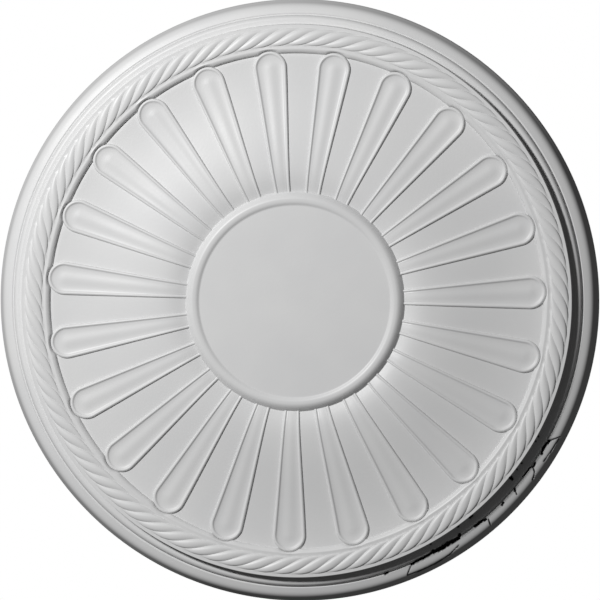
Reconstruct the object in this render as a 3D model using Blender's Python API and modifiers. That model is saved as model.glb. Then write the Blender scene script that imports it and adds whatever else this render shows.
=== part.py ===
"""
Ceiling rose: one round moulded casting with a plain disc, a petalled field and a rope border.

It is modelled as it is used. The back lies on the ceiling plane z = 0 and the moulded face
looks down, so every height here is a depth below the ceiling, and z is its negative. The
origin is the middle of the back. Lengths are in metres.
"""
from math import cos, pi, radians, sin, sqrt

import bmesh
import bpy

# Widths of the bands, from the middle outwards
DISC_RADIUS = 0.0990
RING_SLOPE_WIDTH = 0.0057
RING_ROUND_WIDTH = 0.0077
CROWN_INNER_WIDTH = 0.0314
CROWN_OUTER_WIDTH = 0.1037
FIELD_MARGIN = 0.0075
WELL_BATTER = 0.0040
INNER_FILLET_WIDTH = 0.0026
ROPE_WIDTH = 0.0182
OUTER_FILLET_WIDTH = 0.0040
WALL_BATTER = 0.0004
LEDGE_WIDTH = 0.0050
NOSE_WIDTH = 0.0038
GROOVE_WIDTH = 0.0015
ROUND_WIDTH = 0.0110
SKIRT_WIDTH = 0.0040

# Rises and falls between the bands, from the ceiling down to the face
EDGE_DEPTH = 0.0012
SKIRT_RISE = 0.0073
ROUND_RISE = 0.0090
GROOVE_FALL = 0.0012
LEDGE_RISE = 0.0035
NOSE_ROUND = 0.0042
WALL_RISE = 0.0100
WELL_FALL = 0.0042
CROWN_RISE = 0.0098
CROWN_DIP = 0.0030
RING_RISE = 0.0060
DISC_FALL = 0.0018

# Petals laid on the crowned field
PETALS = 23
FIRST_PETAL_ANGLE = radians(13.4)
PETAL_ROOT_HALF_WIDTH = 0.0064
PETAL_END_RADIUS = 0.0150
PETAL_TIP_BITE = 0.0002
PETAL_RIM_HEIGHT = 0.0022
PETAL_RIM_OUTER_RUN = 0.0017
PETAL_RIM_INNER_RUN = 0.0020
PETAL_FLOOR_HEIGHT = 0.0008
PETAL_RIDGE_HEIGHT = 0.0005
PETAL_ROOT_OVERLAP = 0.0070

# Rope border
STRANDS_PER_PETAL = 4
ROPE_HEIGHT = 0.0031
ROPE_GROOVE_DEPTH = 0.0012
STRAND_SWEEP = radians(8.2)
FIRST_STRAND_ANGLE = radians(1.5)

# Back: a bonding land round the rim and a pad in the middle, with a shallow recess between
BACK_LAND_WIDTH = 0.0450
BACK_PAD_RADIUS = 0.1050
BACK_RECESS_DEPTH = 0.0040
BACK_RECESS_BATTER = 0.0020

# Facets
STRANDS = PETALS * STRANDS_PER_PETAL
TURNED_STEPS_PER_PETAL = 3
TURNED_STEPS = PETALS * TURNED_STEPS_PER_PETAL
CROWN_INNER_ROWS = 2
CROWN_OUTER_ROWS = 4
RING_SEGMENTS = 3
ROUND_SEGMENTS = 3
PETAL_ARC_SEGMENTS = 6
ROPE_SECTION_ANGLES = (-0.20, 0.45, 1.15, pi - 1.15, pi - 0.45, pi + 0.20)

# Radii where the bands meet
RING_CREST_RADIUS = DISC_RADIUS + RING_SLOPE_WIDTH
RING_FOOT_RADIUS = RING_CREST_RADIUS + RING_ROUND_WIDTH
CROWN_RADIUS = RING_FOOT_RADIUS + CROWN_INNER_WIDTH
CROWN_FOOT_RADIUS = CROWN_RADIUS + CROWN_OUTER_WIDTH
WELL_RADIUS = CROWN_FOOT_RADIUS + FIELD_MARGIN
ROPE_INNER_RADIUS = WELL_RADIUS + WELL_BATTER + INNER_FILLET_WIDTH
ROPE_RADIUS = ROPE_INNER_RADIUS + ROPE_WIDTH / 2
WALL_TOP_RADIUS = ROPE_INNER_RADIUS + ROPE_WIDTH + OUTER_FILLET_WIDTH
LEDGE_RADIUS = WALL_TOP_RADIUS + WALL_BATTER
NOSE_RADIUS = LEDGE_RADIUS + LEDGE_WIDTH
GROOVE_RADIUS = NOSE_RADIUS + NOSE_WIDTH
ROUND_RADIUS = GROOVE_RADIUS + GROOVE_WIDTH
SKIRT_RADIUS = ROUND_RADIUS + ROUND_WIDTH
RIM_RADIUS = SKIRT_RADIUS + SKIRT_WIDTH

# Depths below the ceiling
SKIRT_TOP = EDGE_DEPTH + SKIRT_RISE
ROUND_TOP = SKIRT_TOP + ROUND_RISE
GROOVE_FLOOR = ROUND_TOP - GROOVE_FALL
LEDGE_TOP = ROUND_TOP + LEDGE_RISE
FILLET_TOP = LEDGE_TOP + WALL_RISE
FIELD_FOOT = FILLET_TOP - WELL_FALL
CROWN_TOP = FIELD_FOOT + CROWN_RISE
RING_FOOT = CROWN_TOP - CROWN_DIP
RING_TOP = RING_FOOT + RING_RISE
DISC_TOP = RING_TOP - DISC_FALL


def field_depth(radius):
    """Depth of the crowned field: a parabola inside its crest, half a cosine wave outside."""
    if radius < CROWN_RADIUS:
        return CROWN_TOP - CROWN_DIP * ((CROWN_RADIUS - radius) / CROWN_INNER_WIDTH) ** 2
    share = min((radius - CROWN_RADIUS) / CROWN_OUTER_WIDTH, 1.0)
    return FIELD_FOOT + CROWN_RISE * (1 + cos(pi * share)) / 2


def field_rows():
    """Radii of the rows of points on the field, from the ring's foot to the foot of the crown."""
    rows = [RING_FOOT_RADIUS + CROWN_INNER_WIDTH * i / CROWN_INNER_ROWS for i in range(CROWN_INNER_ROWS)]
    rows += [CROWN_RADIUS + CROWN_OUTER_WIDTH * i / CROWN_OUTER_ROWS for i in range(CROWN_OUTER_ROWS + 1)]
    return rows


def quarter_ellipse(top_radius, foot_depth, width, rise, segments):
    """Points of a quarter ellipse that is level at top_radius and upright at its foot, foot first."""
    points = []
    for i in range(segments + 1):
        angle = pi / 2 * i / segments
        points.append((top_radius + width * cos(angle), foot_depth + rise * sin(angle)))
    return points


def falling_round(top_radius, top_depth, width, rise, segments):
    """Points of a round that is level at top_radius and steeper and steeper to its foot, foot first."""
    points = []
    for i in range(segments + 1):
        share = 1 - i / segments
        points.append((top_radius + width * share, top_depth - rise * share ** 2))
    return points


def turned_profile():
    """(radius, depth) from the middle of the back, out over the rim and in along the face."""
    recess_outer = RIM_RADIUS - BACK_LAND_WIDTH
    profile = [
        (0.0, 0.0),
        (BACK_PAD_RADIUS, 0.0),
        (BACK_PAD_RADIUS + BACK_RECESS_BATTER, BACK_RECESS_DEPTH),
        (recess_outer - BACK_RECESS_BATTER, BACK_RECESS_DEPTH),
        (recess_outer, 0.0),
        (RIM_RADIUS, 0.0),
        (RIM_RADIUS, EDGE_DEPTH),
    ]
    profile += falling_round(ROUND_RADIUS, ROUND_TOP, ROUND_WIDTH, ROUND_RISE, ROUND_SEGMENTS)
    profile += [
        (ROUND_RADIUS, GROOVE_FLOOR),
        (GROOVE_RADIUS, GROOVE_FLOOR),
    ]
    profile += quarter_ellipse(NOSE_RADIUS, LEDGE_TOP - NOSE_ROUND, NOSE_WIDTH, NOSE_ROUND, 2)
    profile += [
        (LEDGE_RADIUS, LEDGE_TOP),
        (WALL_TOP_RADIUS, FILLET_TOP),
        (WELL_RADIUS + WELL_BATTER, FILLET_TOP),
        (WELL_RADIUS, FIELD_FOOT),
    ]
    profile += [(radius, field_depth(radius)) for radius in reversed(field_rows())]
    profile += quarter_ellipse(RING_CREST_RADIUS, RING_FOOT, RING_ROUND_WIDTH, RING_RISE, RING_SEGMENTS)[1:]
    profile += [
        (DISC_RADIUS, DISC_TOP),
        (0.0, DISC_TOP),
    ]
    return profile


def link(obj, collection, material):
    """Puts an object in a collection with its material."""
    obj.data.materials.append(material)
    collection.objects.link(obj)
    return obj


def turned_body():
    """The casting without its petals and rope: the profile turned about the vertical axis."""
    mesh = bpy.data.meshes.new("turned_profile")
    points = [(radius, 0.0, -depth) for radius, depth in turned_profile()]
    edges = [(i, i + 1) for i in range(len(points) - 1)]
    mesh.from_pydata(points, edges, [])
    body = bpy.data.objects.new("ceiling_rose", mesh)
    screw = body.modifiers.new("turn", "SCREW")
    screw.axis = "Z"
    screw.angle = 2 * pi
    screw.steps = TURNED_STEPS
    screw.render_steps = TURNED_STEPS
    screw.use_merge_vertices = True
    screw.merge_threshold = 0.0001
    return body


def petal_stations():
    """Along one petal's rim: (middle radius, end angle or None), root to tip and back again.

    The sides run straight from the root to the widest place of the rounded end, whose arc
    then carries the rim round the tip.
    """
    end_radius = WELL_RADIUS + PETAL_TIP_BITE - PETAL_END_RADIUS
    side = [RING_FOOT_RADIUS - PETAL_ROOT_OVERLAP]
    side += [radius for radius in field_rows()[1:] if radius < end_radius - PETAL_RIM_INNER_RUN]
    arc = [pi * i / PETAL_ARC_SEGMENTS for i in range(PETAL_ARC_SEGMENTS + 1)]
    stations = [(radius, None, 1) for radius in side]
    stations += [(end_radius, angle, 1) for angle in arc]
    stations += [(radius, None, -1) for radius in reversed(side)]
    return stations, end_radius


def petal_section(station, end_radius, offset):
    """Point (along, across) of the rim's loop that runs an offset outside the rim's crest."""
    radius, angle, hand = station
    if angle is None:
        share = (radius - RING_FOOT_RADIUS) / (end_radius - RING_FOOT_RADIUS)
        half = PETAL_ROOT_HALF_WIDTH + (PETAL_END_RADIUS - PETAL_ROOT_HALF_WIDTH) * share
        return radius, hand * (half + offset)
    return end_radius + (PETAL_END_RADIUS + offset) * sin(angle), (PETAL_END_RADIUS + offset) * cos(angle)


def add_petal(bm, turn):
    """One petal: a raised rim round a floor with a soft ridge, on a foot sunk in the field."""
    stations, end_radius = petal_stations()
    below = 0.4
    base_depth = (FIELD_FOOT + BACK_RECESS_DEPTH) / 2

    def vertex(along, across, depth):
        x = along * cos(turn) - across * sin(turn)
        y = along * sin(turn) + across * cos(turn)
        return bm.verts.new((x, y, -depth))

    base, foot, crest, floor, ridge = [], [], [], [], []
    for station in stations:
        along, across = petal_section(station, end_radius, PETAL_RIM_OUTER_RUN * (1 + below))
        level = field_depth(sqrt(along * along + across * across))
        base.append(vertex(along, across, base_depth))
        foot.append(vertex(along, across, level - below * PETAL_RIM_HEIGHT))
        along, across = petal_section(station, end_radius, 0.0)
        crest.append(vertex(along, across, field_depth(along) + PETAL_RIM_HEIGHT))
        along, across = petal_section(station, end_radius, -PETAL_RIM_INNER_RUN)
        floor.append(vertex(along, across, field_depth(along) + PETAL_FLOOR_HEIGHT))
    ridge_depth = PETAL_FLOOR_HEIGHT + PETAL_RIDGE_HEIGHT
    half = [station for station in stations if station[2] == 1 and station[1] is None]
    ridge = [vertex(station[0], 0.0, field_depth(station[0]) + ridge_depth) for station in half]
    ridge.append(vertex(end_radius, 0.0, field_depth(end_radius) + ridge_depth))
    last = len(stations) - 1
    for lower, upper in ((base, foot), (foot, crest), (crest, floor)):
        for i in range(last):
            bm.faces.new((lower[i], lower[i + 1], upper[i + 1], upper[i]))
    for i in range(last):
        near = ridge[min(i, last - i, len(half))]
        far = ridge[min(i + 1, last - i - 1, len(half))]
        if near is far:
            bm.faces.new((floor[i], floor[i + 1], near))
        else:
            bm.faces.new((floor[i], floor[i + 1], far, near))
    bm.faces.new((base[0], foot[0], crest[0], floor[0], ridge[0], floor[-1], crest[-1], foot[-1], base[-1]))
    bm.faces.new(base)


def petal_ring():
    """All the petals, spaced evenly round the middle."""
    bm = bmesh.new()
    for i in range(PETALS):
        add_petal(bm, FIRST_PETAL_ANGLE + 2 * pi * i / PETALS)
    return finish_mesh(bm, "petals")


def rope_ring():
    """The rope: a ring whose section is half an ellipse, grooved between slanting strands."""
    bm = bmesh.new()
    columns = 2 * STRANDS
    rows = []
    for section_angle in ROPE_SECTION_ANGLES:
        slant = STRAND_SWEEP * (section_angle / pi - 0.5)
        row = []
        for i in range(columns):
            angle = FIRST_STRAND_ANGLE + 2 * pi * i / columns + slant
            cut = ROPE_GROOVE_DEPTH if i % 2 == 0 else 0.0
            radius = ROPE_RADIUS - (ROPE_WIDTH / 2 - cut) * cos(section_angle)
            depth = FILLET_TOP + (ROPE_HEIGHT - cut) * sin(section_angle)
            row.append(bm.verts.new((radius * cos(angle), radius * sin(angle), -depth)))
        rows.append(row)
    for j in range(len(rows)):
        row = rows[j]
        after = rows[(j + 1) % len(rows)]
        for i in range(columns):
            k = (i + 1) % columns
            bm.faces.new((row[i], row[k], after[k], after[i]))
    return finish_mesh(bm, "rope")


def finish_mesh(bm, name):
    """Turns the faces outward and makes an object."""
    bmesh.ops.recalc_face_normals(bm, faces=bm.faces)
    mesh = bpy.data.meshes.new(name)
    bm.to_mesh(mesh)
    bm.free()
    return bpy.data.objects.new(name, mesh)


def primed_white():
    """White primer with a satin surface."""
    material = bpy.data.materials.new("primed_white")
    material.use_nodes = True
    shader = material.node_tree.nodes["Principled BSDF"]
    shader.inputs["Base Color"].default_value = (0.78, 0.78, 0.77, 1.0)
    shader.inputs["Roughness"].default_value = 0.42
    shader.inputs["Metallic"].default_value = 0.0
    return material


def main():
    for obj in list(bpy.data.objects):
        bpy.data.objects.remove(obj, do_unlink=True)
    rose = bpy.data.collections.new("ceiling_rose")
    cutters = bpy.data.collections.new("cutters")
    bpy.context.scene.collection.children.link(rose)
    bpy.context.scene.collection.children.link(cutters)
    material = primed_white()
    body = link(turned_body(), rose, material)
    for shape in (petal_ring(), rope_ring()):
        link(shape, cutters, material)
        shape.hide_render = True
        shape.display_type = "WIRE"
        union = body.modifiers.new("join_" + shape.name, "BOOLEAN")
        union.operation = "UNION"
        union.solver = "EXACT"
        union.object = shape


main()
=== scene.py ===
"""
Ceiling rose, as it hangs: back on the ceiling plane z = 0, moulded face looking down.

The casting is one closed surface. Sizes are in millimetres and heights are depths below the
ceiling, until the points go into the mesh.
"""

from math import atan2, cos, pi, radians, sin, sqrt, tan

import bmesh
import bpy
import numpy as np
from mathutils import Matrix, Vector


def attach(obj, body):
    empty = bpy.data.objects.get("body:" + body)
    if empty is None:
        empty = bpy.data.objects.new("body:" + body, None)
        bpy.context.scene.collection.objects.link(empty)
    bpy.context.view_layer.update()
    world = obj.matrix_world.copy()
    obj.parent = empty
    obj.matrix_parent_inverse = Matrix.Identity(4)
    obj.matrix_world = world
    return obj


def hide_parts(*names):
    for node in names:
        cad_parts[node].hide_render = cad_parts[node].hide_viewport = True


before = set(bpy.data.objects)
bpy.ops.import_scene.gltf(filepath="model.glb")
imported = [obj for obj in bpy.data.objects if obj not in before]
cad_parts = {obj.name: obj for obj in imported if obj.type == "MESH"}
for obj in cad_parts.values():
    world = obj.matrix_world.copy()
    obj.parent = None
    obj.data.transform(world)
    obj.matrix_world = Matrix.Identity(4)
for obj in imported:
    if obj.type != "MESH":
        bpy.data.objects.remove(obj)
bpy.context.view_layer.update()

# Radii of the bands
DISC = 97.9
RING_CREST = 104.6
RING_FOOT = 112.8
CROWN = 134.0
CROWN_FOOT = 247.5
WELL_FOOT = 253.7
WELL_TOP = 259.5
ROPE_INNER = 261.6
ROPE_OUTER = 279.8
WALL_TOP = 283.1
LEDGE = 283.9
NOSE = 288.5
GROOVE = 292.9
ROUND = 295.0
SKIRT = 306.8
RIM = 309.5

# Depths below the ceiling
SKIRT_TOP = 7.0
GROOVE_FLOOR = 16.2
ROUND_TOP = 16.9
ROUND_LEAN = 0.27
LEDGE_TOP = 21.3
LEDGE_SLOPE = 0.3
NOSE_ROUND = 4.4
FILLET_TOP = 31.0
FIELD_FOOT = 26.1
CROWN_RISE = 10.5
CROWN_DIP = 3.4
WELL_DIP = 0.25
RING_BASE = 33.2
RING_RISE = 6.4
DISC_TOP = 37.8
RING_FALL = 20.0

# Petals
PETALS = 23
SECTOR = 2 * pi / PETALS
FIRST_PETAL = radians(13.3)
PETAL_SPREAD = radians(3.88)
PETAL_END = 240.2
PETAL_END_RADIUS = 15.0
RIM_RISE = 2.5
RIM_OUTER_RUN = 2.1
RIM_INNER_RUN = 2.4
RIM_INNER_FALL = 1.35
DISH = 0.85
DISH_RUN = 3.6
RIDGE_RISE = 1.1
RIDGE_WIDTH = 6.5
OUTER_LOOPS = (1.0, 0.97, 0.86, 0.66, 0.35)
BEAD_LOOPS = (0.0, 0.22, 0.4, 0.57, 0.75, 1.0)
DISH_LOOPS = (0.1, 0.24, 0.42, 0.62, 0.82, 1.0)
SIDE_START = 114.6
ROOT_HALVINGS = 40
GROWTH_START = 130.0
GROWTH_RUN = 97.0
ROOT_GROWTH = 0.7
SIDE_STATIONS = 20
ARC_STATIONS = 10
WALL_STATIONS = 5
FIELD_COLUMNS = 10

# Ring and disc: rows as shares of a band's width, and the disc's (radius, columns)
RING_COLUMNS = 460
RING_JOIN = 108.6
RING_FOOT_ROWS = (0.08, 0.2, 0.35)
RING_CREST_ROWS = (0.62, 0.74, 0.85, 0.94, 1.0)
RING_SLOPE_ROWS = (0.2, 0.4, 0.55, 0.66, 0.76, 0.85, 0.93, 1.0)
DISC_ROWS = ((97.0, RING_COLUMNS), (90.0, 184), (60.0, 92), (30.0, 46))

# Rope
STRANDS = 4 * PETALS
ROPE_RISE = 2.6
STRAND_SWEEP = radians(8.2)
FIRST_STRAND = radians(1.5)
STRAND_GROOVE = 1.35
STRAND_COLUMNS = 14
ROPE_ROWS = 13

# Wall of the well: shares of its width and of its rise, from its foot
WALL_STEPS = (
    (0.05, 0.28),
    (0.16, 0.56),
    (0.3, 0.74),
    (0.47, 0.87),
    (0.65, 0.97),
    (0.82, 1.01),
    (1.0, 0.96),
)

# Edge mouldings
FILLET_ROWS = (281.4, 282.0, 282.6)
CORNER_ROUNDING = 0.35
WALL_BREAK = (0.2, 4.0)
LEDGE_ROWS = (0.18, 0.4, 0.65, 0.9)
NOSE_POINTS = 7
GROOVE_START = 0.15
GROOVE_SIDE = 0.7
ROUND_LIP = 0.5
ROUND_POINTS = 14
ROUND_POWER = 5
SKIRT_ROWS = ((307.9, 4.7), (308.8, 2.6), (309.3, 1.1))
EDGE_ROW = 4.0

# Columns of the edge mouldings, in degrees: close together over the damaged stretch
DAMAGED_FROM = 26.0
DAMAGED_TO = 74.0
DAMAGED_STEP = 0.11
WHOLE_COLUMNS = 240

# Back
BACK_OUTER_ROW = 290.0
BACK_LAND = 264.5
BACK_PAD = 105.0
BACK_INNER_ROW = 60.0
BACK_RECESS = 4.0
BACK_BATTER = 2.0
BACK_ROUNDING = 0.8
BACK_STEP = 3.0

# Chips: how softly their sides fall, how far the near-black painted shade in them spreads, what they
# leave of a depth, and the least depth that gets painted shade
CHIP_SOFTNESS = 0.5
CHIP_SHADE_SPREAD = 1.1
LEAST_DEPTH = 1.0
LEAST_PAINTED_SHADE_DEPTH = 2.0

# Strokes of the chips and cracks in the edge mouldings, placed one by one, with near-black painted shade
# along them.
# Each has its depth lost, its half width and its path of (degrees, radius) points.
CHIPS = (
    (1.2, 0.45, ((28.6, 296.5), (27.9, 299.8), (27.1, 303.6))),
    (0.7, 0.40, ((27.5, 303.4), (30.1, 302.9), (32.8, 301.6))),
    (4.5, 1.1, ((28.7, 295.6), (30.3, 294.3), (31.7, 295.6))),
    (4.0, 0.9, ((34.0, 295.4), (34.7, 296.1))),
    (1.2, 0.45, ((34.8, 295.7), (35.5, 300.1), (36.3, 302.1), (37.0, 303.4))),
    (1.8, 0.45, ((34.7, 295.4), (35.6, 293.4), (37.6, 293.6))),
    (3.5, 0.8, ((40.5, 294.6), (40.8, 296.6))),
    (1.2, 0.45, ((40.7, 296.4), (41.1, 299.9))),
    (3.5, 0.9, ((44.1, 295.8), (44.6, 296.8))),
    (4.5, 1.2, ((48.9, 296.2), (49.9, 294.6), (51.4, 293.9))),
    (1.2, 0.45, ((48.5, 297.9), (48.8, 301.1), (49.0, 303.3))),
    (5.0, 1.5, ((54.9, 291.9), (55.5, 293.7), (58.4, 292.6))),
    (5.0, 1.9, ((56.5, 293.8), (59.5, 292.9), (61.3, 292.9))),
    (4.5, 1.1, ((61.3, 292.9), (63.8, 293.5), (66.3, 294.2))),
    (0.7, 0.40, ((56.3, 300.4), (58.9, 303.7), (62.1, 304.6), (65.3, 304.3), (68.0, 303.4))),
    (0.7, 0.40, ((66.7, 296.4), (68.0, 303.3))),
    (3.5, 0.9, ((71.4, 293.5), (72.0, 294.1))),
    (4.0, 1.3, ((39.2, 284.6), (39.3, 286.6))),
    (1.2, 0.45, ((28.9, 284.0), (29.0, 284.2))),
    (1.2, 0.45, ((30.0, 284.0), (30.1, 284.2))),
    (1.2, 0.45, ((35.4, 284.0), (35.5, 284.2))),
    (1.2, 0.45, ((37.0, 284.0), (37.1, 284.2))),
    (1.5, 0.6, ((50.4, 283.9), (51.1, 284.1))),
    (1.2, 0.45, ((54.0, 284.0), (54.2, 284.2))),
    (1.2, 0.45, ((60.8, 284.0), (60.9, 284.2))),
)

# Stage and camera, in metres and degrees
FLOOR_SIZE = 400.0
FLOOR_HEIGHT = -9.5
CAMERA_DISTANCE = 6.0
CAMERA_OFF_AXIS = 6.22
CAMERA_TOWARDS_X = 5.95
CAMERA_TOWARDS_MINUS_Y = 1.8
CAMERA_AIM = (0.0017, -0.0004, 0.0)
CAMERA_LENS = 350.1


class Surface:
    """Points and faces of the casting, gathered row by row."""

    def __init__(self):
        self.points = []
        self.faces = []
        # Share of near-black painted shade at each point in the chips and cracks
        self.painted_chip_shade = {}

    def row(self, radius, angle, depth):
        """Adds one point for each radius, angle and depth, and returns their numbers."""
        radius, angle, depth = np.broadcast_arrays(radius, angle, depth)
        first = len(self.points)
        self.points += list(zip(radius * np.cos(angle), radius * np.sin(angle), depth))
        return list(range(first, len(self.points)))

    def strip(self, lower, upper, closed=True):
        """Quads between two rows with the same number of points."""
        for i in range(len(lower) if closed else len(lower) - 1):
            k = (i + 1) % len(lower)
            self.faces.append((lower[i], lower[k], upper[k], upper[i]))

    def blend(self, lower, upper):
        """Triangles between two closed rows whose numbers of points differ."""
        first = [atan2(self.points[i][1], self.points[i][0]) for i in lower]
        second = [atan2(self.points[i][1], self.points[i][0]) for i in upper]

        def lead(i):
            """Angle between the second row's point i and the first row's first point."""
            return abs((second[i] - first[0] + pi) % (2 * pi) - pi)

        start = min(range(len(upper)), key=lead)
        upper = upper[start:] + upper[:start]
        second = second[start:] + second[:start]

        def turn(angles, i):
            """How far round point i lies from the first row's first point."""
            whole, part = divmod(i, len(angles))
            lag = (angles[part] - angles[0]) % (2 * pi)
            offset = (angles[0] - first[0] + pi) % (2 * pi) - pi
            return offset + lag + 2 * pi * whole

        i = j = 0
        while i < len(lower) or j < len(upper):
            near, far = lower[i % len(lower)], upper[j % len(upper)]
            if j == len(upper) or (i < len(lower) and turn(first, i + 1) < turn(second, j + 1)):
                self.faces.append((near, lower[(i + 1) % len(lower)], far))
                i += 1
            else:
                self.faces.append((near, upper[(j + 1) % len(upper)], far))
                j += 1

    def make(self, name):
        """The finished object, in metres, with its faces turned outward."""
        mesh = bpy.data.meshes.new(name)
        points = [(x / 1000, y / 1000, -depth / 1000) for x, y, depth in self.points]
        mesh.from_pydata(points, [], self.faces)
        # Painted shade: each point's share of near-black in the chips and cracks goes into a point
        # attribute
        painted_chip_shade = mesh.attributes.new("painted_chip_shade", "FLOAT", "POINT")
        for i, share in self.painted_chip_shade.items():
            painted_chip_shade.data[i].value = share
        bm = bmesh.new()
        bm.from_mesh(mesh)
        bmesh.ops.recalc_face_normals(bm, faces=bm.faces)
        bm.to_mesh(mesh)
        bm.free()
        mesh.shade_smooth()
        mesh.set_sharp_from_angle(angle=radians(38))
        obj = bpy.data.objects.new(name, mesh)
        bpy.context.scene.collection.objects.link(obj)
        return obj


def field_depth(radius):
    """Depth of the crowned field.

    It is a parabola inside its crest and a soft wave outside, with a slight dip at the well.
    """
    inside = CROWN_DIP * ((CROWN - radius) / (CROWN - RING_FOOT)) ** 2
    share = np.clip((radius - CROWN) / (CROWN_FOOT - CROWN), 0.0, 1.0) ** 0.88
    outside = CROWN_RISE * (1 - np.cos(pi * share)) / 2
    outside += WELL_DIP * np.clip((radius - WELL_FOOT + 4.0) / 4.0, 0.0, 1.0) ** 2
    return FIELD_FOOT + CROWN_RISE - np.where(radius < CROWN, inside, outside)


def ring_depth(radius):
    """Depth of the ring's rounded outer side, which falls away steeply past its foot."""
    share = (radius - RING_CREST) / (RING_FOOT - RING_CREST)
    inside = RING_BASE + RING_RISE * (1 - share ** 2)
    return np.where(share > 1, RING_BASE - RING_FALL * (share - 1), inside)


def half_width(along):
    """Half width of a petal, from its axis to the crest of its rim, along the straight sides."""
    tangent = PETAL_END - PETAL_END_RADIUS * sin(PETAL_SPREAD)
    return PETAL_END_RADIUS * cos(PETAL_SPREAD) + tan(PETAL_SPREAD) * (along - tangent)


def growth(along):
    """How much of its full size a petal's section has reached."""
    return ROOT_GROWTH + (1 - ROOT_GROWTH) * np.clip((along - GROWTH_START) / GROWTH_RUN, 0.0, 1.0)


def outside_rise(share, along):
    """Height of the rim's outer flank above the field, a share of its run outside its crest."""
    return RIM_RISE * growth(along) * np.sqrt(np.clip(1 - share ** 2, 0.0, 1.0))


def bead_rise(share, along):
    """Height of the rim's inner flank above the field, a share of its run inside its crest."""
    return growth(along) * (RIM_RISE - RIM_INNER_FALL * sin(pi / 2 * share ** 1.2) ** 2)


def dish_rise(distance, across, along):
    """Height of the petal's dish above the field, a distance inside the rim's inner foot."""
    size = growth(along)
    dish = DISH * (1 - np.exp(-distance / (DISH_RUN * size)))
    ridge = RIDGE_RISE * np.exp(-(across / (RIDGE_WIDTH * size)) ** 2)
    return size * (RIM_RISE - RIM_INNER_FALL - dish + ridge)


def petal_loops():
    """Loops of points across half a petal, from the rim's outer foot to the petal's axis."""
    loops = [("outer", share) for share in OUTER_LOOPS]
    loops += [("bead", share) for share in BEAD_LOOPS]
    return loops + [("dish", share) for share in DISH_LOOPS]


def petal_point(crest, normal, axis, loop):
    """(along, across, depth) of a loop's point beside one point of the rim's crest."""
    kind, share = loop
    size = growth(crest[0])
    inner_run = RIM_INNER_RUN * size
    to_axis = sqrt((crest[0] - axis) ** 2 + crest[1] ** 2)
    if kind == "outer":
        x = crest[0] + normal[0] * RIM_OUTER_RUN * size * share
        y = crest[1] + normal[1] * RIM_OUTER_RUN * size * share
        rise = outside_rise(share, crest[0])
    else:
        if kind == "bead":
            distance = inner_run * share
        else:
            distance = inner_run + (to_axis - inner_run) * share
        x = crest[0] + (axis - crest[0]) * distance / to_axis
        y = crest[1] * (1 - distance / to_axis)
        if kind == "bead":
            rise = bead_rise(share, crest[0])
        else:
            rise = dish_rise(distance - inner_run, to_axis - distance, crest[0])
    return x, y, field_depth(np.hypot(x, y)) + rise


def half_petal():
    """Rows of (along, across, depth) from the ring to the tip, for one half of a petal."""
    tangent = PETAL_END - PETAL_END_RADIUS * sin(PETAL_SPREAD)
    side_normal = (-sin(PETAL_SPREAD), cos(PETAL_SPREAD))
    loops = petal_loops()

    def on_side(along, loop):
        return petal_point((along, half_width(along)), side_normal, along, loop)

    root = []
    for loop in loops:
        low, high = RING_CREST, RING_FOOT + 4.0
        for _ in range(ROOT_HALVINGS):
            middle = (low + high) / 2
            x, y, depth = on_side(middle, loop)
            if ring_depth(np.hypot(x, y)) > depth:
                low = middle
            else:
                high = middle
        root.append(on_side(low, loop))
    steps = np.linspace(0.0, 1.0, SIDE_STATIONS + 1)[1:]
    sides = SIDE_START + (tangent - SIDE_START) * (0.35 * steps ** 2 + 0.65 * steps)
    rows = [root] + [[on_side(along, loop) for loop in loops] for along in sides]
    reach = PETAL_END_RADIUS + RIM_OUTER_RUN
    touch = np.arcsin((WELL_FOOT ** 2 - PETAL_END ** 2 - reach ** 2) / (2 * PETAL_END * reach))
    free = np.linspace(-PETAL_SPREAD, touch, ARC_STATIONS + 1)[1:]
    pressed = np.linspace(touch, pi / 2, WALL_STATIONS + 1)[1:]
    for angle in [*free, *pressed]:
        normal = (sin(angle), cos(angle))
        crest = (PETAL_END + PETAL_END_RADIUS * normal[0], PETAL_END_RADIUS * normal[1])
        rows.append([petal_point(crest, normal, tangent, loop) for loop in loops])
    return rows


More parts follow.
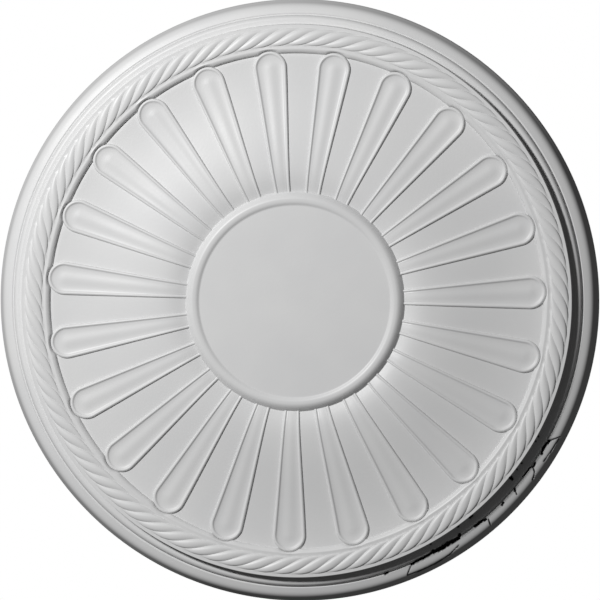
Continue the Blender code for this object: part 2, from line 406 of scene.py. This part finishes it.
def build_petals_and_field(surface):
    """The field with its petals. Returns its first row, at the ring, and its last, in the well."""
    half = half_petal()
    last = len(half[0]) - 1
    numbers = []
    for k in range(PETALS):
        turn = FIRST_PETAL + k * SECTOR

        def add(points, side):
            """Puts points of the petal's own frame in the surface."""
            x, y, depth = np.array(points).T
            return surface.row(np.hypot(x, y), np.arctan2(side * y, x) + turn, depth)

        axis = add([row[last] for row in half[:SIDE_STATIONS + 1]], 1)
        hands = []
        for side in (-1, 1):
            hand = []
            for j, row in enumerate(half):
                if side == 1 and j == len(half) - 1:
                    hand.append(hands[0][j])
                else:
                    hand.append(add(row[:last], side) + [axis[min(j, SIDE_STATIONS)]])
            for j in range(len(hand) - 1):
                for i in range(last):
                    corners = [hand[j][i], hand[j][i + 1], hand[j + 1][i + 1], hand[j + 1][i]]
                    surface.faces.append(tuple(dict.fromkeys(corners)))
            hands.append(hand)
        numbers.append(hands)

    first_row, last_row = [], []
    shares = np.arange(1, FIELD_COLUMNS) / FIELD_COLUMNS
    for k in range(PETALS):
        turn = FIRST_PETAL + k * SECTOR
        before = numbers[k][1]
        after = numbers[(k + 1) % PETALS][0]
        rows = []
        for j, row in enumerate(half[:-WALL_STATIONS]):
            radius = np.hypot(row[0][0], row[0][1])
            offset = atan2(row[0][1], row[0][0])
            angle = turn + offset + (SECTOR - 2 * offset) * shares
            if j == 0:
                radius = RING_FOOT
            between = surface.row(radius, angle, float(field_depth(radius)))
            rows.append([before[j][0]] + between + [after[j][0]])
        for j in range(len(rows) - 1):
            surface.strip(rows[j], rows[j + 1], closed=False)
        first_row += numbers[k][0][0][:last] + list(reversed(numbers[k][1][0])) + rows[0][1:-1]
        tip = [row[0] for row in reversed(before[-WALL_STATIONS:])]
        last_row += [row[0] for row in numbers[k][0][-WALL_STATIONS:]] + tip[1:] + rows[-1]
    return first_row, last_row


def polar(surface, numbers):
    """Radii and angles of points that are already in the surface."""
    x, y, _ = np.array([surface.points[i] for i in numbers]).T
    return np.hypot(x, y), np.arctan2(y, x)


def build_ring_and_disc(surface, foot_row):
    """The rounded ring inside the field, and the plain disc."""
    radius, angle = polar(surface, foot_row)
    row = foot_row
    for share in RING_FOOT_ROWS:
        out = radius + (RING_CREST - radius) * share
        after = surface.row(out, angle, ring_depth(out))
        surface.strip(row, after)
        row = after
    ring_angle = np.arange(RING_COLUMNS) * 2 * pi / RING_COLUMNS
    after = surface.row(RING_JOIN, ring_angle, ring_depth(RING_JOIN))
    surface.blend(row, after)
    row = after
    for share in RING_CREST_ROWS:
        out = RING_FOOT + (RING_CREST - RING_FOOT) * share
        after = surface.row(out, ring_angle, ring_depth(out))
        surface.strip(row, after)
        row = after
    top = RING_BASE + RING_RISE
    for share in RING_SLOPE_ROWS:
        depth = top - (top - DISC_TOP) * sin(pi / 2 * share ** 1.9) ** 2
        after = surface.row(RING_CREST - (RING_CREST - DISC) * share, ring_angle, depth)
        surface.strip(row, after)
        row = after
    for radius, count in DISC_ROWS:
        after = surface.row(radius, np.arange(count) * 2 * pi / count, DISC_TOP)
        surface.blend(row, after)
        row = after
    surface.faces.append(tuple(row))


def build_rope(surface, well_row):
    """The well's wall, the inner fillet and the rope. Returns the rope's outer row."""
    foot, angle = polar(surface, well_row)
    row = well_row
    base = np.array([surface.points[i][2] for i in well_row])
    for across, up in WALL_STEPS:
        depth = base + (FILLET_TOP - base) * up
        after = surface.row(foot + (WELL_TOP - foot) * across, angle, depth)
        surface.strip(row, after)
        row = after
    columns = STRANDS * STRAND_COLUMNS
    position = np.arange(columns) / STRAND_COLUMNS
    within = position % 1.0
    cut = STRAND_GROOVE * np.abs(2 * within - 1) ** 2.2
    middle = (ROPE_INNER + ROPE_OUTER) / 2
    half = (ROPE_OUTER - ROPE_INNER) / 2
    for j in range(ROPE_ROWS):
        section = pi * j / (ROPE_ROWS - 1)
        turn = FIRST_STRAND + 2 * pi * position / STRANDS + STRAND_SWEEP * (section / pi - 0.5)
        radius = middle - (half - cut) * cos(section)
        depth = FILLET_TOP + (ROPE_RISE - cut) * sin(section)
        after = surface.row(radius, turn, depth)
        if j == 0:
            surface.blend(row, after)
        else:
            surface.strip(row, after)
        row = after
    return row


def rounded(corners, segments=3):
    """Points along a profile of (radius, depth, rounding) corners, each rounded by a short curve."""
    points = []
    for i, (radius, depth, rounding) in enumerate(corners):
        if rounding == 0:
            points.append((radius, depth))
            continue
        here = Vector((radius, depth))
        start = here + (Vector(corners[i - 1][:2]) - here).normalized() * rounding
        end = here + (Vector(corners[i + 1][:2]) - here).normalized() * rounding
        for step in range(segments + 1):
            t = step / segments
            point = start * (1 - t) ** 2 + here * 2 * t * (1 - t) + end * t ** 2
            points.append((point.x, point.y))
    return points


def border_profile():
    """(radius, depth) from the outer fillet over the edge mouldings to the back's edge."""
    fillet = [(radius, FILLET_TOP, 0) for radius in FILLET_ROWS]
    wall_foot = LEDGE_TOP - LEDGE_SLOPE
    wall = [
        (WALL_TOP, FILLET_TOP, CORNER_ROUNDING),
        (WALL_TOP + WALL_BREAK[0], FILLET_TOP - WALL_BREAK[1], 0),
        (LEDGE, wall_foot, CORNER_ROUNDING),
    ]
    ledge = [(LEDGE + (NOSE - LEDGE) * share, wall_foot + LEDGE_SLOPE * share, 0) for share in LEDGE_ROWS]
    nose = [(NOSE + (GROOVE - NOSE) * sin(a), LEDGE_TOP - NOSE_ROUND * (1 - cos(a)), 0)
            for a in np.linspace(0, pi / 2, NOSE_POINTS)]
    groove = [
        (GROOVE + GROOVE_START, GROOVE_FLOOR, 0),
        (GROOVE + GROOVE_SIDE, GROOVE_FLOOR, 0),
        (ROUND - GROOVE_SIDE, ROUND_TOP - ROUND_LIP, 0),
        (ROUND, ROUND_TOP, 0),
    ]
    lean = ROUND_LEAN * (SKIRT - ROUND)
    outer_round = [(ROUND + (SKIRT - ROUND) * share,
                    ROUND_TOP - lean * share - (ROUND_TOP - SKIRT_TOP - lean) * share ** ROUND_POWER, 0)
                   for share in np.linspace(0.0, 1.0, ROUND_POINTS)[1:] ** 0.8]
    skirt = [(radius, depth, 0) for radius, depth in SKIRT_ROWS]
    skirt += [(RIM, 0.0, 0), (RIM - EDGE_ROW, 0.0, 0)]
    return rounded(fillet + wall + ledge + nose + groove + outer_round + skirt)


def border_angles():
    """Angles of the border's columns: close together over the damaged stretch."""
    fine = np.arange(DAMAGED_FROM, DAMAGED_TO, DAMAGED_STEP)
    coarse = np.linspace(DAMAGED_TO, DAMAGED_FROM + 360.0, WHOLE_COLUMNS, endpoint=False)
    return np.radians(np.concatenate([fine, coarse]))


def damage(radius, angles):
    """Depth lost to the chips at a radius, and how much near-black painted shade each point gets, for
    angles in radians.
    """
    point = radius * np.stack([np.cos(angles), np.sin(angles)])
    fall = np.zeros(len(angles))
    within = np.zeros(len(angles))
    ragged = 1 + 0.22 * np.sin(97 * angles + 0.9 * radius)
    ragged += 0.14 * np.sin(311 * angles - 1.7 * radius)
    for lost, half, path in CHIPS:
        corners = [np.array((r * cos(radians(a)), r * sin(radians(a)))) for a, r in path]
        nearest = np.full(len(angles), 1000.0)
        for start, end in zip(corners[:-1], corners[1:]):
            run = end - start
            offset = point - start[:, None]
            share = np.clip(run @ offset / (run @ run), 0.0, 1.0)
            nearest = np.minimum(nearest, np.hypot(*(offset - run[:, None] * share)))
        gap = half * ragged - nearest
        fall = np.maximum(fall, lost * np.clip(gap / CHIP_SOFTNESS + 0.5, 0.0, 1.0))
        # How much near-black painted shade each point gets
        within = np.maximum(within, np.clip(gap / CHIP_SOFTNESS + CHIP_SHADE_SPREAD, 0.0, 1.0))
    return fall, within


def build_border(surface, rope_row):
    """The edge mouldings. Returns the last row, on the back."""
    angles = border_angles()
    row = None
    for radius, depth in border_profile():
        fall, within = damage(radius, angles)
        after = surface.row(radius, angles, np.maximum(depth - fall, min(depth, LEAST_DEPTH)))
        # Painted shade: points in the chips and cracks get their share of near-black
        if depth > LEAST_PAINTED_SHADE_DEPTH:
            surface.painted_chip_shade.update({after[i]: within[i] for i in np.flatnonzero(within)})
        if row is None:
            surface.blend(rope_row, after)
        else:
            surface.strip(row, after)
        row = after
    return row


def build_back(surface, edge_row):
    """The back: a bonding land, a shallow recess and a pad in the middle."""
    profile = rounded([
        (BACK_OUTER_ROW, 0.0, 0),
        (BACK_LAND, 0.0, BACK_ROUNDING),
        (BACK_LAND - BACK_BATTER, BACK_RECESS, BACK_ROUNDING),
        (BACK_PAD + BACK_BATTER, BACK_RECESS, BACK_ROUNDING),
        (BACK_PAD, 0.0, BACK_ROUNDING),
        (BACK_INNER_ROW, 0.0, 0),
    ])
    angles = np.radians(np.arange(0.0, 360.0, BACK_STEP))
    row = surface.row(profile[0][0], angles, profile[0][1])
    surface.blend(edge_row, row)
    for radius, depth in profile[1:]:
        after = surface.row(radius, angles, depth)
        surface.strip(row, after)
        row = after
    surface.faces.append(tuple(row))


def build_casting():
    """The whole casting as one closed surface."""
    surface = Surface()
    foot_row, well_row = build_petals_and_field(surface)
    build_ring_and_disc(surface, foot_row)
    rope_row = build_rope(surface, well_row)
    edge_row = build_border(surface, rope_row)
    build_back(surface, edge_row)
    return surface.make("ceiling_rose_casting")


def primed_white():
    """White primer with a satin surface, very slightly uneven, with near-black painted shade in its chips
    and cracks.
    """
    material = bpy.data.materials.new("primed_white")
    material.use_nodes = True
    tree = material.node_tree
    shader = tree.nodes["Principled BSDF"]
    shader.inputs["Specular IOR Level"].default_value = 0.32
    place = tree.nodes.new("ShaderNodeTexCoord")

    def noise(scale, detail, rough):
        node = tree.nodes.new("ShaderNodeTexNoise")
        node.inputs["Scale"].default_value = scale
        node.inputs["Detail"].default_value = detail
        node.inputs["Roughness"].default_value = rough
        tree.links.new(place.outputs["Object"], node.inputs["Vector"])
        return node.outputs["Fac"]

    def ranged(value, low, high):
        node = tree.nodes.new("ShaderNodeMapRange")
        node.inputs["From Min"].default_value = 0.3
        node.inputs["From Max"].default_value = 0.7
        node.inputs["To Min"].default_value = low
        node.inputs["To Max"].default_value = high
        tree.links.new(value, node.inputs["Value"])
        return node.outputs["Result"]

    mottle = tree.nodes.new("ShaderNodeMixRGB")
    mottle.inputs["Color1"].default_value = (0.695, 0.696, 0.699, 1.0)
    mottle.inputs["Color2"].default_value = (0.722, 0.722, 0.720, 1.0)
    tree.links.new(ranged(noise(14.0, 4.0, 0.55), 0.0, 1.0), mottle.inputs["Fac"])
    # Painted shade: near-black is mixed in by the attribute inside the chips and cracks
    chip_shade_share = tree.nodes.new("ShaderNodeAttribute")
    chip_shade_share.attribute_name = "painted_chip_shade"
    chip_shade_mix = tree.nodes.new("ShaderNodeMixRGB")
    chip_shade_mix.inputs["Color2"].default_value = (0.020, 0.020, 0.021, 1.0)
    tree.links.new(chip_shade_share.outputs["Fac"], chip_shade_mix.inputs["Fac"])
    tree.links.new(mottle.outputs["Color"], chip_shade_mix.inputs["Color1"])
    tree.links.new(chip_shade_mix.outputs["Color"], shader.inputs["Base Color"])
    tree.links.new(ranged(noise(26.0, 3.0, 0.5), 0.36, 0.43), shader.inputs["Roughness"])
    bump = tree.nodes.new("ShaderNodeBump")
    bump.inputs["Strength"].default_value = 0.10
    bump.inputs["Distance"].default_value = 0.0006
    tree.links.new(noise(420.0, 3.0, 0.55), bump.inputs["Height"])
    tree.links.new(bump.outputs["Normal"], shader.inputs["Normal"])
    return material


def plain(name, colour, roughness):
    """A plain matt material for the stage."""
    material = bpy.data.materials.new(name)
    material.use_nodes = True
    shader = material.node_tree.nodes["Principled BSDF"]
    shader.inputs["Base Color"].default_value = (*colour, 1.0)
    shader.inputs["Roughness"].default_value = roughness
    return material


def aim(obj, target, up=(0.0, 0.0, 1.0)):
    """Turns a lamp or camera so that it looks at a point."""
    back = (obj.location - Vector(target)).normalized()
    right = Vector(up).cross(back).normalized()
    upward = back.cross(right)
    turned = Matrix((right, upward, back)).transposed().to_4x4()
    obj.matrix_world = Matrix.Translation(obj.location) @ turned


def area_light(name, azimuth, off_axis, distance, size, power):
    """A round soft light in front of the face, off the rose's axis by an angle in degrees."""
    lamp = bpy.data.lights.new(name, "AREA")
    lamp.shape = "DISK"
    lamp.size = size
    lamp.energy = power
    obj = bpy.data.objects.new(name, lamp)
    away = distance * sin(radians(off_axis))
    obj.location = (away * cos(radians(azimuth)), away * sin(radians(azimuth)),
                    -distance * cos(radians(off_axis)))
    bpy.context.scene.collection.objects.link(obj)
    aim(obj, (0.0, 0.0, -0.03))


def build_stage():
    """Floor far below, a white surround, and the lights."""
    bpy.ops.mesh.primitive_plane_add(size=FLOOR_SIZE, location=(0.0, 0.0, FLOOR_HEIGHT))
    floor = bpy.context.object
    floor.name = "studio_floor"
    floor.data.materials.append(plain("pale_floor", (0.80, 0.80, 0.80), 0.9))
    floor.visible_diffuse = False
    floor.visible_glossy = False

    world = bpy.data.worlds.new("studio")
    bpy.context.scene.world = world
    world.use_nodes = True
    tree = world.node_tree
    background = tree.nodes["Background"]
    background.inputs["Color"].default_value = (1.0, 1.0, 1.0, 1.0)
    path = tree.nodes.new("ShaderNodeLightPath")
    strength = tree.nodes.new("ShaderNodeMapRange")
    strength.inputs["To Min"].default_value = 0.05
    strength.inputs["To Max"].default_value = 1.0
    tree.links.new(path.outputs["Is Camera Ray"], strength.inputs["Value"])
    tree.links.new(strength.outputs["Result"], background.inputs["Strength"])

    area_light("key", azimuth=219.0, off_axis=36.0, distance=2.4, size=0.35, power=52.0)
    sun = bpy.data.lights.new("top", "SUN")
    sun.energy = 2.6
    sun.angle = radians(20)
    top = bpy.data.objects.new("top", sun)
    top.location = (0.1, 0.1, 4.0)
    bpy.context.scene.collection.objects.link(top)
    aim(top, (0.0, 0.0, 0.0))


def build_camera():
    """A long lens below the rose, a few degrees off its axis towards +X and a little towards -Y."""
    data = bpy.data.cameras.new("camera")
    data.sensor_width = 36.0
    data.lens = CAMERA_LENS
    data.clip_end = 1000.0
    camera = bpy.data.objects.new("camera", data)
    bpy.context.scene.collection.objects.link(camera)
    camera.location = (
        CAMERA_DISTANCE * sin(radians(CAMERA_TOWARDS_X)),
        -CAMERA_DISTANCE * sin(radians(CAMERA_TOWARDS_MINUS_Y)),
        -CAMERA_DISTANCE * cos(radians(CAMERA_OFF_AXIS)),
    )
    aim(camera, CAMERA_AIM, up=(0.0, -1.0, 0.0))
    bpy.context.scene.camera = camera


casting = build_casting()
casting.data.materials.append(primed_white())
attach(casting, "root")
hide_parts("ceiling_rose")
build_stage()
build_camera()
bpy.context.scene.view_settings.view_transform = "Standard"
